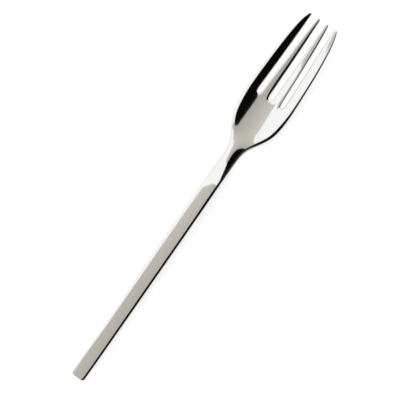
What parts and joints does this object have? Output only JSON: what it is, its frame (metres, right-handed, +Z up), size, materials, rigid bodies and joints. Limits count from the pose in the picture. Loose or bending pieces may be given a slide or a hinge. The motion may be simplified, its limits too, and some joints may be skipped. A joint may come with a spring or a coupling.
{
  "type": "serving fork",
  "caption": "Polished steel serving fork: a straight bar handle, a rounded neck and a shallow dished head that divides into slim tapered tines.",
  "frame": {"origin": "on the table that the fork lies on, under the centre of its bounding box", "axes": "+X from the handle's end to the tips of the tines, +Z up, out of the hollow of the head"},
  "size_m": [0.2504, 0.0312, 0.014],
  "materials": {
    "head_steel": "mirror-polished stainless steel",
    "handle_steel": "mirror-polished stainless steel"
  },
  "bodies": {
    "root": {"fork_head": "head_steel", "handle": "handle_steel"}
  },
  "joints": []
}
